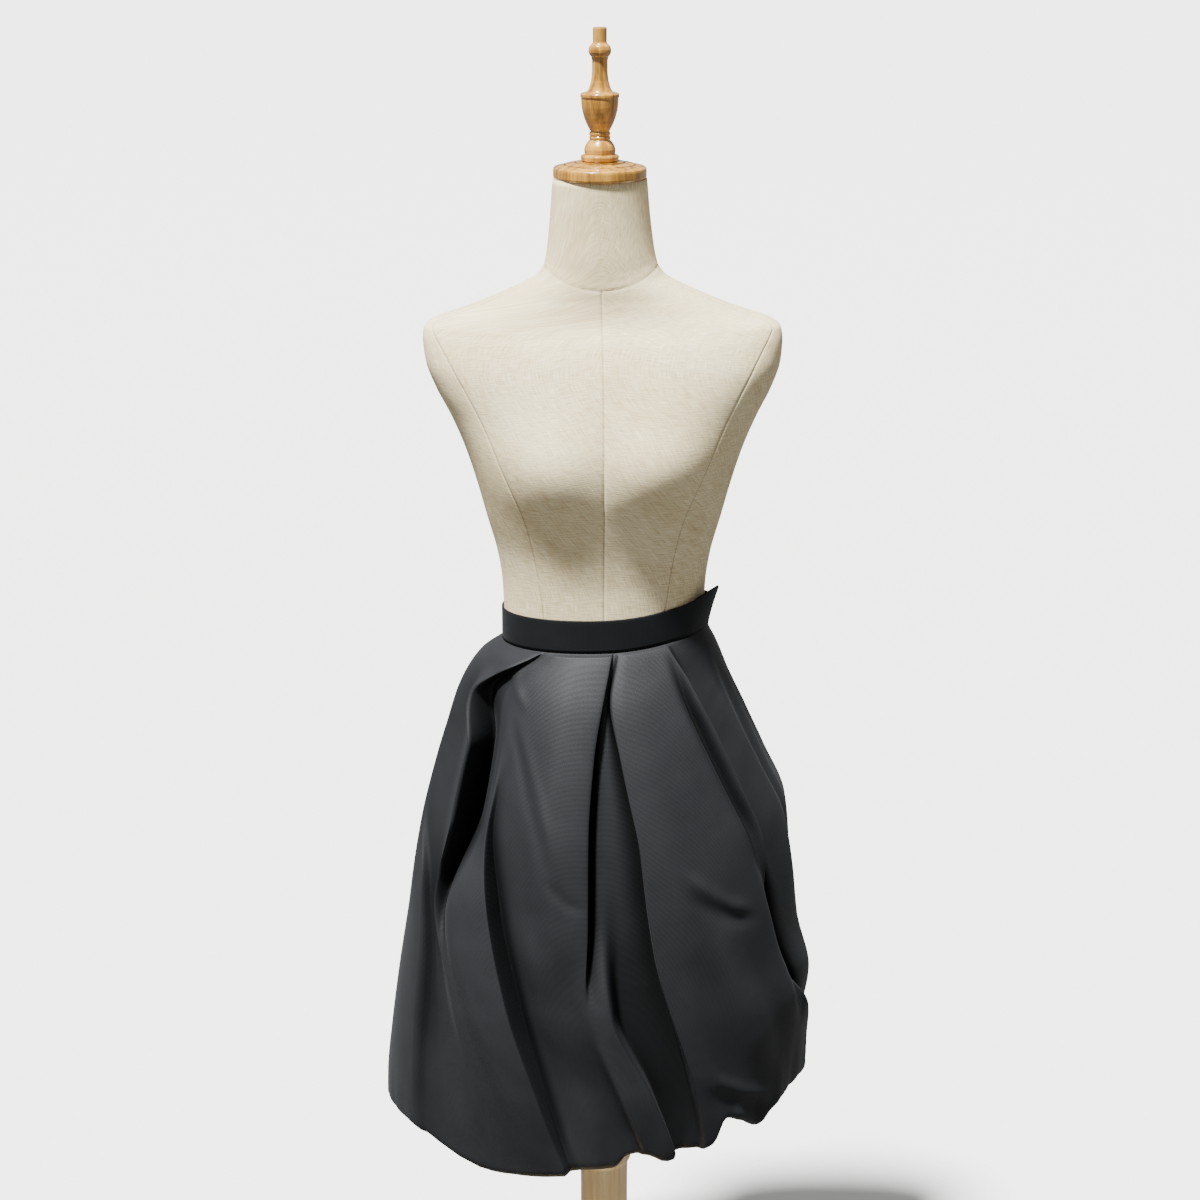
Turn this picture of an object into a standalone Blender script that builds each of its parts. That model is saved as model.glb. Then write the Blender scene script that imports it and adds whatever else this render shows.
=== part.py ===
"""Balloon skirt on a limbless dress form that stands on a turned wooden pole.

Metres, +Z up. The front faces -Y and +X is the right of the front view. The origin is the
middle of the stand's underside. Angles round the skirt are in degrees from the centre front,
growing towards +X, so 90 is the wearer's left side seam and 180 is the centre back.
A drop is a distance below the seam that joins the skirt to its waistband.
"""

import math
from collections import namedtuple

import bmesh
import bpy
import numpy as np

MM = 0.001

# Driving dimensions
WAIST_HEIGHT = 1.030
BAND_HEIGHT = 0.038
BAND_WALL = 0.0020
CLOTH_WALL = 0.0020
SHARPEST_MITRE = 0.45
SEAM_GAP = 0.0003
BAND_GAP = 0.0006
BAND_PROUD = 0.0004
TURN_UP = 0.026
TURN_UP_LEAN = 0.2
FORM_LEAN_TOP = -0.0045

# The waist seam slopes up towards +X by BAND_TILT. At the front it also bends up on that side
# by SIDE_CLIMB, which fades out over the depth CLIMB_ENDS across the middle. Both fade out
# down the skirt by the drop TILT_FADES_BY.
BAND_TILT = 0.040
SIDE_CLIMB = 0.85
CLIMB_ENDS = 0.060
TILT_FADES_BY = 0.25

# Mesh fineness
COLUMN_SPACING = 0.019
ROW_COUNT = 23
ROW_CROWDING = 1.12
ROLL_STEPS = 4
BAND_COLUMNS = 72
FORM_COLUMNS = 36
TURNED_SIDES = 24

# The skirt's plain form without folds: four half-widths in mm at each drop in mm
Section = namedtuple("Section", "drop left right front back")
SKIRT_SECTIONS = (
    Section(0, 118, 120, 80, 82),
    Section(8, 129, 124, 86, 88),
    Section(18, 144, 129, 92, 94),
    Section(55, 167, 143, 111, 114),
    Section(100, 181, 164, 128, 133),
    Section(150, 196, 188, 144, 150),
    Section(215, 213, 217, 161, 168),
    Section(280, 226, 224, 173, 182),
    Section(345, 236, 229, 182, 191),
    Section(425, 249, 245, 188, 198),
    Section(500, 259, 240, 190, 200),
    Section(560, 265, 239, 188, 198),
    Section(620, 266, 226, 184, 194),
)

# Fold lines run down the skirt. Each has its angle and its rise in mm at these drops in mm.
# A lip is a pleat's folded edge, and the root behind it lies under that edge.
FOLD_DROPS = (0, 50, 110, 190, 290, 400, 500, 600)
Fold = namedtuple("Fold", "name angles rises")
LEFT_SEAM = Fold("left_seam", (-96, -96, -96, -96, -95, -94, -93, -92), (0, 0, 0, 0, 0, 0, 0, 0))
FRONT_FOLDS = (
    LEFT_SEAM,
    Fold("strip_lip", (-84, -84, -83, -79, -66, -61, -59, -57), (0, 2, 3, 4, 7, 8, 6, 3)),
    Fold("strip_root", (-81, -81, -80, -76, -65, -58, -55, -52), (0, 0, -1, 0, -4, -8, -5, -2)),
    Fold("flap_crease", (-62, -71, -68, -64, -61, -51, -41, -30), (0, -6, -9, -5, -8, -7, -4, -2)),
    Fold("flap_lip", (-36, -61, -53, -53, -57.5, -46, -35, -25), (3, 12, 14, 13, 6, 1, 1, 0)),
    Fold("hollow_root", (-34, -57, -55, -55.5, -55.5, -42, -30, -20), (1, -14, -36, -46, -10, 8, 7, 2)),
    Fold("roll_crest", (-31, -46, -44.5, -43, -47, -35, -24, -15), (2, -9, -13, -8, 14, 18, 14, 4)),
    Fold("roll_lip", (-28, -38, -40, -40, -34, -25.5, -17, -10), (3, -2, -5, -1, 12, 14, 10, 3)),
    Fold("roll_root", (-26, -34, -36.5, -38.5, -34.5, -26, -17, -8), (4, 0, -4, -9, -20, -26, -22, -8)),
    Fold("panel_middle", (-12, -14, -15, -16, -14, -12, -5, -1), (6, 9, 12, 13, 10, -2, -10, -5)),
    Fold("centre_lip", (4.3, -0.4, -3.4, -4.6, -4.4, -5.4, 2.6, 12), (5, 7, 8, 9, 7, 3, -1, -1)),
    Fold("centre_root", (4.8, -1.6, -5.8, -7.2, -6.2, -2.4, 5.4, 14.4), (1, -9, -19, -22, -17, 6, 11, 4)),
    Fold("wedge_lip", (5.6, -0.2, -1.8, -2, -1.0, 2.0, 13, 22), (0, -5, -9, -9, -6, 9, 8, 3)),
    Fold("wedge_root", (6.4, 1.0, 1.6, 3.0, 3.6, 4.4, 14.4, 23.2), (0, -6, -10, -12, -13, -22, -24, -10)),
    Fold("inset_root", (7.0, 2.8, 6.4, 10.6, 13.7, 18.6, 25.4, 29.6), (0, -9, -15, -19, -21, -20, -13, -5)),
    Fold("inset_lip", (7.7, 3.0, 6.2, 10, 13, 18, 25.8, 31.6), (1, 1, 3, 4, 4, 4, 3, 1)),
    Fold("right_panel", (12, 7.5, 11, 15, 19.0, 26, 34, 41), (3, 4, 5, 5, 6, 6, 4, 1)),
    Fold("right_belly", (25, 28, 32, 35, 38, 46, 56, 61), (3, 7, 10, 11, 12, 12, 10, 4)),
    Fold("right_lip", (34.7, 43, 48, 51.5, 55.5, 64, 84, 97), (4, 11, 15, 16, 16, 14, 8, 2)),
    Fold("right_root", (37.0, 43.8, 49.2, 53.5, 58.5, 68.5, 89, 100), (2, -15, -28, -34, -35, -29, -12, -2)),
    Fold("side_face", (39.5, 47.5, 53, 57, 62, 72, 92, 102.5), (1, -7, -8, -6, -5, -4, -3, -1)),
    Fold("side_ridge", (50, 60, 67, 73, 79, 86, 97, 106), (1, -3, -2, 1, 4, 4, 2, 0)),
    Fold("side_valley", (62, 70, 77, 83, 88, 94, 102, 110), (0, -4, -5, -6, -6, -4, -2, 0)),
)
RIGHT_SEAM = Fold("right_seam", (86, 88, 90, 92, 96, 102, 110, 116), (0, 0, 0, 0, 0, 0, 0, 0))
BACK_FOLDS = (
    RIGHT_SEAM,
    Fold("back_a_lip", (104, 108, 113, 118, 124, 131, 138, 143), (2, 6, 9, 10, 10, 9, 7, 3)),
    Fold("back_a_root", (105, 108.6, 113, 118.5, 126, 134, 142, 147), (1, -7, -12, -15, -16, -14, -10, -4)),
    Fold("back_a_belly", (120, 124, 128, 133, 139, 146, 152, 156), (2, 4, 6, 7, 8, 8, 6, 3)),
    Fold("back_b_lip", (140, 143, 147, 150, 155, 160, 165, 168), (3, 8, 11, 12, 12, 11, 8, 3)),
    Fold("back_b_root", (141, 143.5, 147, 150.5, 157, 163, 169, 172), (1, -8, -14, -17, -18, -16, -11, -5)),
    Fold("back_middle", (165, 166, 168, 170, 173, 177, 181, 184), (3, 5, 7, 7, 8, 8, 6, 3)),
    Fold("back_c_lip", (186, 186, 187, 188, 190, 194, 199, 203), (3, 8, 10, 11, 11, 11, 8, 3)),
    Fold("back_c_root", (187, 186.5, 187, 188.5, 192, 197, 203, 207), (1, -8, -13, -16, -17, -16, -12, -5)),
    Fold("back_d_belly", (203, 202, 202, 203, 206, 210, 215, 219), (2, 4, 5, 6, 7, 8, 6, 3)),
    Fold("back_d_lip", (224, 221, 219, 218, 220, 225, 231, 235), (3, 8, 11, 11, 11, 10, 8, 3)),
    Fold("back_d_root", (225, 221.4, 219, 218.5, 222, 228, 235, 239), (1, -7, -14, -16, -17, -16, -11, -5)),
    Fold("back_e_belly", (243, 240, 238, 238, 241, 246, 250, 253), (1, 3, 4, 5, 6, 6, 5, 2)),
)

# The gathered hem's lowest drop and the radius of its rounded turn, both in mm, by angle
Hem = namedtuple("Hem", "angle drop roll")
HEM_WAVES = (
    Hem(-94, 606, 7),
    Hem(-80, 590, 7),
    Hem(-62, 588, 9),
    Hem(-46, 606, 11),
    Hem(-30, 620, 12),
    Hem(-15, 614, 14),
    Hem(-4, 607, 14),
    Hem(3, 603, 13),
    Hem(9, 583, 11),
    Hem(14, 579, 11),
    Hem(20, 592, 12),
    Hem(26, 590, 12),
    Hem(34, 584, 10),
    Hem(41, 552, 10),
    Hem(47, 564, 13),
    Hem(52, 578, 14),
    Hem(60, 561, 18),
    Hem(75, 556, 22),
    Hem(95, 566, 20),
    Hem(118, 584, 14),
    Hem(140, 570, 12),
    Hem(158, 592, 13),
    Hem(178, 574, 12),
    Hem(199, 600, 13),
    Hem(218, 582, 12),
    Hem(240, 606, 11),
    Hem(266, 610, 7),
)

# The form's level sections: heights over the waist and half-widths in mm, and how square each is
FormRing = namedtuple("FormRing", "height half_width front back power")
FORM_RINGS = (
    FormRing(-255, 112, 72, 80, 2.0),
    FormRing(-250, 130, 82, 91, 2.0),
    FormRing(-232, 138, 87, 96, 2.0),
    FormRing(-195, 141, 88, 98, 2.0),
    FormRing(-135, 133, 83, 94, 2.0),
    FormRing(-85, 122, 78, 87, 2.0),
    FormRing(-42, 114, 76.5, 79, 2.0),
    FormRing(0, 115.9, 77.9, 79.9, 2.0),
    FormRing(25, 117, 79, 81, 2.05),
    FormRing(60, 122, 83, 83, 2.1),
    FormRing(105, 134, 91, 90, 2.15),
    FormRing(150, 146, 97, 96, 2.2),
    FormRing(190, 159, 98, 101, 2.25),
    FormRing(225, 174, 96, 105, 2.3),
    FormRing(255, 189, 91, 106, 2.4),
    FormRing(285, 199, 82, 103, 2.5),
    FormRing(308, 201, 71, 97, 2.5),
    FormRing(321, 199, 62, 90, 2.5),
    FormRing(328, 190, 58, 86, 2.4),
    FormRing(337, 165, 55, 81, 2.2),
    FormRing(347, 138, 53, 75, 2.1),
    FormRing(358, 112, 52, 69, 2.0),
    FormRing(369, 88, 52, 63, 2.0),
    FormRing(380, 70, 52, 58, 2.0),
    FormRing(393, 62.5, 52, 55, 2.0),
    FormRing(428, 57, 50, 51, 2.0),
    FormRing(484, 52, 48, 48, 2.0),
)
BUST_HEIGHT = 0.176
BUST_SPREAD = 0.060
BUST_RISE = 0.022
BUST_WIDTH = 0.066
BUST_LENGTH = 0.058

# Turned pieces: radius and height over the waist in mm, from the top down
Turn = namedtuple("Turn", "radius height")
FINIAL_PROFILE = (
    Turn(7.0, 645.5),
    Turn(7.6, 644.5),
    Turn(7.6, 629.5),
    Turn(8.6, 628.0),
    Turn(11.3, 625.6),
    Turn(12.4, 622.0),
    Turn(12.3, 618.8),
    Turn(11.0, 616.0),
    Turn(9.2, 614.4),
    Turn(9.0, 611.8),
    Turn(8.5, 610.6),
    Turn(8.5, 598.0),
    Turn(9.5, 589.0),
    Turn(11.6, 582.0),
    Turn(13.8, 577.6),
    Turn(20.6, 575.8),
    Turn(21.3, 574.6),
    Turn(21.3, 572.0),
    Turn(20.4, 570.6),
    Turn(20.4, 567.0),
    Turn(19.9, 561.0),
    Turn(18.9, 555.6),
    Turn(17.2, 549.6),
    Turn(15.0, 543.8),
    Turn(12.6, 539.0),
    Turn(11.0, 536.2),
    Turn(10.4, 535.0),
    Turn(11.6, 533.4),
    Turn(11.6, 531.4),
    Turn(10.5, 530.2),
    Turn(11.6, 529.0),
    Turn(11.6, 527.0),
    Turn(10.9, 526.0),
    Turn(13.4, 523.6),
    Turn(15.9, 520.0),
    Turn(17.2, 515.6),
    Turn(16.9, 511.4),
    Turn(16.4, 510.4),
    Turn(20.2, 509.4),
    Turn(21.0, 507.6),
    Turn(20.6, 504.0),
    Turn(19.0, 502.8),
)
CAP_PROFILE = (
    Turn(26.4, 502.5),
    Turn(26.8, 500.3),
    Turn(27.6, 500.3),
    Turn(28.0, 501.5),
    Turn(38.2, 500.2),
    Turn(38.6, 498.2),
    Turn(39.4, 498.2),
    Turn(39.8, 499.3),
    Turn(49.6, 497.0),
    Turn(51.0, 495.6),
    Turn(51.4, 493.4),
    Turn(51.4, 486.4),
    Turn(50.2, 484.3),
)
HIP_PLATE_PROFILE = (
    Turn(58.0, -255.3),
    Turn(60.0, -257.5),
    Turn(60.0, -266.0),
    Turn(58.0, -268.0),
)
POLE_PROFILE = (
    Turn(26.3, -268.3),
    Turn(26.3, -683.0),
    Turn(28.6, -687.0),
    Turn(31.2, -699.0),
    Turn(33.0, -716.0),
    Turn(33.0, -724.0),
    Turn(29.0, -730.0),
    Turn(29.0, -940.0),
    Turn(33.0, -950.0),
    Turn(40.0, -975.0),
    Turn(48.0, -990.0),
    Turn(48.0, -1003.7),
)
BASE_PROFILE = (
    Turn(150.0, -1004.0),
    Turn(160.0, -1006.0),
    Turn(165.0, -1012.0),
    Turn(165.0, -1026.0),
    Turn(161.0, -1030.0),
)

# Waistband ends, in degrees: it starts under its own far end at the wearer's left side
BAND_START = 62.0
BAND_END = 439.0
BAND_LIFT_STARTS = 398.0
BAND_LIFT_ENDS = 416.0
BAND_LIFT = BAND_WALL + 0.0005
TIP_STARTS = 406.0
TIP_OUT = 0.012
TIP_UP = 0.011
TIP_ROUNDING = 0.003


def smooth(stations, values, at):
    """Values at new places on a smooth curve that never overshoots its stations."""
    stations = np.asarray(stations, float)
    values = np.asarray(values, float).reshape(len(stations), -1)
    step = np.diff(stations)[:, None]
    slope = np.diff(values, axis=0) / step
    tangent = np.vstack([slope[:1], np.zeros_like(slope[1:]), slope[-1:]])
    before, after = slope[:-1], slope[1:]
    same_way = before * after > 0
    near, far = 2 * step[1:] + step[:-1], step[1:] + 2 * step[:-1]
    safe_before = np.where(same_way, before, 1.0)
    safe_after = np.where(same_way, after, 1.0)
    mean = (near + far) / (near / safe_before + far / safe_after)
    tangent[1:-1] = np.where(same_way, mean, 0.0)
    at = np.clip(np.asarray(at, float), stations[0], stations[-1])
    index = np.clip(np.searchsorted(stations, at, side="right") - 1, 0, len(step) - 1)
    width = step[index]
    part = ((at - stations[index])[:, None]) / width
    return (
        values[index] * (1 + 2 * part) * (1 - part) ** 2
        + tangent[index] * width * part * (1 - part) ** 2
        + values[index + 1] * part**2 * (3 - 2 * part)
        + tangent[index + 1] * width * part**2 * (part - 1)
    )


def ease(low, high, value):
    """0 below low, 1 above high, and an even S between them."""
    part = np.clip((np.asarray(value, float) - low) / (high - low), 0, 1)
    return part * part * (3 - 2 * part)


def plain_point(angles, drops, rises):
    """Points of the skirt's surface, and the level directions that face out of it."""
    drops = np.asarray(drops, float)
    table = np.array([row[1:] for row in SKIRT_SECTIONS]) * MM
    stations = np.array([row.drop for row in SKIRT_SECTIONS]) * MM
    left, right, front, back = smooth(stations, table, drops.ravel()).T.reshape(4, *drops.shape)
    turn = np.radians(angles)
    across = np.where(np.sin(turn) > 0, right, left)
    along = np.where(np.cos(turn) > 0, front, back)
    out = np.stack([np.sin(turn) / across, -np.cos(turn) / along], -1)
    out /= np.linalg.norm(out, axis=-1, keepdims=True)
    level = np.stack([across * np.sin(turn), -along * np.cos(turn)], -1) + rises[..., None] * out
    ahead = np.clip(0.5 - level[..., 1] / CLIMB_ENDS, 0, 1)
    climb = BAND_TILT * level[..., 0] + SIDE_CLIMB * ahead * np.clip(level[..., 0], 0, None) ** 2
    tilt = climb * (1 - np.clip(drops / TILT_FADES_BY, 0, 1)) ** 2
    height = WAIST_HEIGHT - BAND_HEIGHT - BAND_GAP + tilt - drops
    return np.concatenate([level, height[..., None]], -1), np.concatenate([out, 0 * out[..., :1]], -1)


def fold_grid(folds, drops):
    """Angles and rises of every column at each drop, and the right seam's column."""
    stations = np.array(FOLD_DROPS) * MM
    lines = np.array([[*fold.angles, *fold.rises] for fold in folds], float)
    count = len(FOLD_DROPS)
    angles = smooth(stations, lines[:, :count].T, drops)
    rises = smooth(stations, lines[:, count:].T, drops) * MM
    wrapped_angles = np.hstack([angles[:, -2:] - 360, angles, angles[:, :3] + 360])
    wrapped_rises = np.hstack([rises[:, -2:], rises, rises[:, :3]])
    middle = len(drops) // 2
    level = np.full(wrapped_angles.shape[1], drops[middle])
    spots = plain_point(wrapped_angles[middle], level, wrapped_rises[middle])[0]
    spans = np.linalg.norm(np.diff(spots[2:-2], axis=0), axis=1)
    steps = [max(1, round(span / COLUMN_SPACING)) for span in spans[: len(folds)]]
    columns = [k + 2 + i / n for k, n in enumerate(steps) for i in range(n)]
    names = [fold.name for fold in folds]
    right = sum(steps[: names.index("right_seam")])
    places = np.arange(wrapped_angles.shape[1])
    return (
        smooth(places, wrapped_angles.T, columns).T,
        smooth(places, wrapped_rises.T, columns).T,
        right,
    )


def skirt_rings():
    """Outer points of the whole skirt as rows of closed rings, and the right seam's column."""
    reach = max(row.drop for row in HEM_WAVES) * MM
    drops = np.linspace(0, reach, 80)
    angles, rises, right = fold_grid(FRONT_FOLDS + BACK_FOLDS, drops)
    hem_table = np.array([row[1:] for row in HEM_WAVES]) * MM
    hem_angles = [row.angle for row in HEM_WAVES]
    low, roll = smooth(hem_angles, hem_table, angles[-1]).T
    rows = []
    for share in np.linspace(0, 1, ROW_COUNT) ** ROW_CROWDING:
        at = share * (low - roll)
        angle = np.array([np.interp(at[i], drops, angles[:, i]) for i in range(len(at))])
        rise = np.array([np.interp(at[i], drops, rises[:, i]) for i in range(len(at))])
        points, out = plain_point(angle, at, rise)
        rows.append(points)
    edge = rows[-1]
    for step in range(1, ROLL_STEPS + 1):
        turn = math.pi * step / ROLL_STEPS
        inward = roll[:, None] * (1 - math.cos(turn)) * -out
        rows.append(edge + inward - roll[:, None] * math.sin(turn) * np.array([0, 0, 1]))
    rows.append(rows[-1] + TURN_UP * (np.array([0, 0, 1]) - TURN_UP_LEAN * out))
    return np.array(rows), right


def unit(vectors):
    return vectors / np.linalg.norm(vectors, axis=-1, keepdims=True)


def wall_offset(rings):
    """From each outer point to the wall's inner point, longer where the cloth folds sharply."""
    ahead = unit(np.roll(rings, -1, axis=1) - rings)
    behind = np.roll(ahead, 1, axis=1)
    down = np.gradient(rings, axis=0)
    normal = unit(np.cross(down, ahead + behind))
    half_turn = np.sqrt((1 + np.sum(ahead * behind, axis=-1, keepdims=True)) / 2)
    return -CLOTH_WALL * normal / np.maximum(half_turn, SHARPEST_MITRE)


def material(name, colour, roughness):
    made = bpy.data.materials.new(name)
    made.use_nodes = True
    shader = made.node_tree.nodes["Principled BSDF"]
    shader.inputs["Base Color"].default_value = (*colour, 1.0)
    shader.inputs["Roughness"].default_value = roughness
    shader.inputs["Metallic"].default_value = 0.0
    return made


def finish(mesh_tools, name, look, sharp_degrees=40):
    """Turns a bmesh into a named object with faces out and smooth shading."""
    bmesh.ops.recalc_face_normals(mesh_tools, faces=mesh_tools.faces)
    mesh = bpy.data.meshes.new(name)
    mesh_tools.to_mesh(mesh)
    mesh_tools.free()
    mesh.shade_smooth()
    mesh.set_sharp_from_angle(angle=math.radians(sharp_degrees))
    mesh.materials.append(look)
    made = bpy.data.objects.new(name, mesh)
    bpy.context.scene.collection.objects.link(made)
    return made


def add_strip(tools, upper, lower):
    """Quads between two rows of vertices."""
    for i in range(len(upper) - 1):
        tools.faces.new((upper[i], upper[i + 1], lower[i + 1], lower[i]))


def cloth_wall(name, outer, inner, look):
    """A closed wall between an outer and an inner sheet of points, split the same way on both."""
    tools = bmesh.new()
    sheets = [[[tools.verts.new(p) for p in row] for row in sheet] for sheet in (outer, inner)]
    rows, columns = outer.shape[:2]
    for row in range(rows - 1):
        for column in range(columns - 1):
            corners = [(row, column), (row, column + 1), (row + 1, column + 1), (row + 1, column)]
            a, b, c, d = (outer[place] for place in corners)
            if np.linalg.norm(a - c) > np.linalg.norm(b - d):
                corners = corners[1:] + corners[:1]
            for sheet in sheets:
                p, q, r, s = (sheet[i][j] for i, j in corners)
                tools.faces.new((p, q, r))
                tools.faces.new((p, r, s))
    front, rear = sheets
    add_strip(tools, front[0], rear[0])
    add_strip(tools, front[-1], rear[-1])
    for column in (0, -1):
        add_strip(tools, [row[column] for row in front], [row[column] for row in rear])
    return finish(tools, name, look)


def turned(name, profile, sides, look, centre=(0.0, 0.0)):
    """A solid of revolution from its outline, closed flat at both ends."""
    tools = bmesh.new()
    rings = []
    for radius, height in profile:
        ring = []
        for i in range(sides):
            turn = math.tau * i / sides
            x = centre[0] + radius * MM * math.cos(turn)
            y = centre[1] + radius * MM * math.sin(turn)
            ring.append(tools.verts.new((x, y, WAIST_HEIGHT + height * MM)))
        rings.append(ring)
    for upper, lower in zip(rings, rings[1:]):
        add_strip(tools, upper + upper[:1], lower + lower[:1])
    tools.faces.new(rings[0])
    tools.faces.new(rings[-1])
    return finish(tools, name, look, 30)


def make_skirt(look):
    """Front and back panels, cut apart at the two side seams."""
    rings, right = skirt_rings()
    inner = rings + wall_offset(rings)
    around = np.roll(rings, -1, axis=1) - np.roll(rings, 1, axis=1)
    half_gap = SEAM_GAP / 2 * unit(around)
    last = rings.shape[1]
    for name, columns in (
        ("skirt_front", list(range(right + 1))),
        ("skirt_back", list(range(right, last)) + [0]),
    ):
        sheets = []
        for sheet in (rings, inner):
            panel = sheet[:, columns].copy()
            panel[:, 0] += half_gap[:, columns[0]]
            panel[:, -1] -= half_gap[:, columns[-1]]
            sheets.append(panel)
        cloth_wall(name, *sheets, look)


def make_waistband(look):
    """One strip of doubled cloth whose far end lies over its start and stands out as a tip."""
    turns = np.linspace(BAND_START, BAND_END, BAND_COLUMNS)
    seam, out = plain_point(turns, np.zeros(BAND_COLUMNS), np.zeros(BAND_COLUMNS))
    lift = BAND_LIFT * ease(BAND_LIFT_STARTS, BAND_LIFT_ENDS, turns)
    tip = ease(TIP_STARTS, BAND_END, turns)
    rounding = TIP_ROUNDING * ease(BAND_END - 3, BAND_END + 1, turns) ** 2
    up = np.array([0, 0, 1])
    outer, inner = [], []
    for share in (1.0, 0.5, 0.0):
        height = BAND_GAP + BAND_HEIGHT * share + (TIP_UP * tip - rounding) * share**2
        stand_out = lift + TIP_OUT * tip * share**1.5 + BAND_PROUD
        row = seam + height[:, None] * up
        outer.append(row + stand_out[:, None] * out)
        inner.append(row + (stand_out - BAND_WALL)[:, None] * out)
    cloth_wall("waistband", np.array(outer), np.array(inner), look)


def form_ring(row):
    """One level section of the form, with the bust's two soft rises."""
    height = row.height * MM
    lean = FORM_LEAN_TOP * float(ease(0.20, 0.48, height))
    points = []
    for i in range(FORM_COLUMNS):
        turn = math.tau * i / FORM_COLUMNS
        across, along = math.sin(turn), -math.cos(turn)
        power = 2 / row.power
        x = row.half_width * MM * math.copysign(abs(across) ** power, across)
        depth = row.front if along < 0 else row.back
        y = depth * MM * math.copysign(abs(along) ** power, along)
        if along < 0:
            side = (abs(x) - BUST_SPREAD) / BUST_WIDTH
            level = (height - BUST_HEIGHT) / BUST_LENGTH
            y -= BUST_RISE * math.exp(-side * side - level * level) * min(1.0, -2 * along)
        points.append((x + lean, y, WAIST_HEIGHT + height))
    return points


def make_form(look):
    """The padded torso from hip to neck, closed flat at both ends."""
    tools = bmesh.new()
    rings = [[tools.verts.new(p) for p in form_ring(row)] for row in FORM_RINGS]
    for lower, upper in zip(rings, rings[1:]):
        add_strip(tools, lower + lower[:1], upper + upper[:1])
    tools.faces.new(rings[0])
    tools.faces.new(rings[-1])
    return finish(tools, "form_torso", look)


def main():
    for old in list(bpy.data.objects):
        bpy.data.objects.remove(old)
    black_cloth = material("black ribbed cloth", (0.018, 0.019, 0.021), 0.62)
    linen = material("natural linen", (0.76, 0.72, 0.63), 0.90)
    varnished = material("varnished beech", (0.62, 0.36, 0.13), 0.28)
    pale_wood = material("pale wood", (0.78, 0.62, 0.40), 0.45)
    make_skirt(black_cloth)
    make_waistband(black_cloth)
    make_form(linen)
    neck = (FORM_LEAN_TOP, 0.0)
    turned("finial", FINIAL_PROFILE, TURNED_SIDES, varnished, neck)
    turned("neck_cap", CAP_PROFILE, TURNED_SIDES, varnished, neck)
    turned("hip_plate", HIP_PLATE_PROFILE, TURNED_SIDES, pale_wood)
    turned("pole", POLE_PROFILE, TURNED_SIDES, pale_wood)
    turned("stand_base", BASE_PROFILE, 2 * TURNED_SIDES, pale_wood)


main()
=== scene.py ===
"""Looks, lights and camera for a balloon skirt worn on a dress form with a wooden stand.

Metres, +Z up, the front faces -Y. Angles round the skirt are in degrees from the centre front
and grow towards +X. A drop is a distance below the seam under the waistband.
"""

import math
from collections import namedtuple

import bmesh
import bpy
import numpy as np
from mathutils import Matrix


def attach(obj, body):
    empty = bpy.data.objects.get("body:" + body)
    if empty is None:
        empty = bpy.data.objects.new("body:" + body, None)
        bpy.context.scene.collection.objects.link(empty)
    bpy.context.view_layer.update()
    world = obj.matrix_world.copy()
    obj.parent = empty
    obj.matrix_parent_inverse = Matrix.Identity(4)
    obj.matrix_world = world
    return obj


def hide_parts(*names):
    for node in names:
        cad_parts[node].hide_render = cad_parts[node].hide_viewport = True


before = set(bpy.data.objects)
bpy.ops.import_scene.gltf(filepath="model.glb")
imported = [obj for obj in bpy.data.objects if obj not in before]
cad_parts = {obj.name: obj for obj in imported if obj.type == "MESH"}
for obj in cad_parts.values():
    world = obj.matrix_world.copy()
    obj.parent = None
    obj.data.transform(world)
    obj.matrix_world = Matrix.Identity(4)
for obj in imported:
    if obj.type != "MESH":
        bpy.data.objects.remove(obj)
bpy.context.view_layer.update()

MM = 0.001

# The garment's own sizes
WAIST_HEIGHT = 1.030
BAND_HEIGHT = 0.038
BAND_WALL = 0.0020
BAND_GAP = 0.0006
BAND_PROUD = 0.0004
TURN_UP = 0.026
TURN_UP_LEAN = 0.2
FORM_LEAN_TOP = -0.0045
CLOTH_WALL = 0.0012
SHARPEST_MITRE = 0.45
SEAM_GAP = 0.0003
# Next to the waistband the cloth is drawn in by TUCK, in full down to the first of these drops
# and not at all from the second
TUCK = 0.0006
TUCK_FULL_TO = 0.0006
TUCK_GONE_BY = 0.0030

# The waist seam slopes up towards +X by BAND_TILT. At the front it also bends up on that side
# by SIDE_CLIMB, which fades out over the depth CLIMB_ENDS across the middle. Both fade out
# down the skirt by the drop TILT_FADES_BY.
BAND_TILT = 0.040
SIDE_CLIMB = 0.85
CLIMB_ENDS = 0.060
TILT_FADES_BY = 0.25

# How fine the meshes are
DROP_SAMPLES = 160
COLUMN_SPACING = 0.0036
RIB_SPACING = 0.0014
LOWER_ROWS = 132
TOP_DROPS = (0.0, 0.8, 1.6, 2.2, 2.8, 3.5, 4.4, 5.6, 7.2, 9.5)
ROLL_STEPS = 10
TURN_UP_SHARES = (0.25, 0.5, 0.75, 1.0)
# FOLD_REACH is how many columns to each side are searched for the fold walls that set the painted fold
# shade.
FOLD_REACH = 12
BAND_COLUMNS = 420
BAND_ROWS = 12
BAND_EDGE_STEPS = 6
TURN_SAMPLES = 2881
PANEL_COLUMNS = 17
TURNED_SIDES = 96

# The skirt's plain form without folds: four half-widths in mm at each drop in mm
Section = namedtuple("Section", "drop left right front back")
SKIRT_SECTIONS = (
    Section(0, 118, 120, 80, 82),
    Section(8, 129, 124, 86, 88),
    Section(18, 144, 129, 92, 94),
    Section(55, 167, 143, 111, 114),
    Section(100, 181, 164, 128, 133),
    Section(150, 196, 188, 144, 150),
    Section(215, 213, 217, 161, 168),
    Section(280, 226, 224, 173, 182),
    Section(345, 236, 229, 182, 191),
    Section(425, 249, 245, 188, 198),
    Section(500, 259, 240, 190, 200),
    Section(560, 265, 239, 188, 198),
    Section(620, 266, 226, 184, 194),
)

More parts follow.
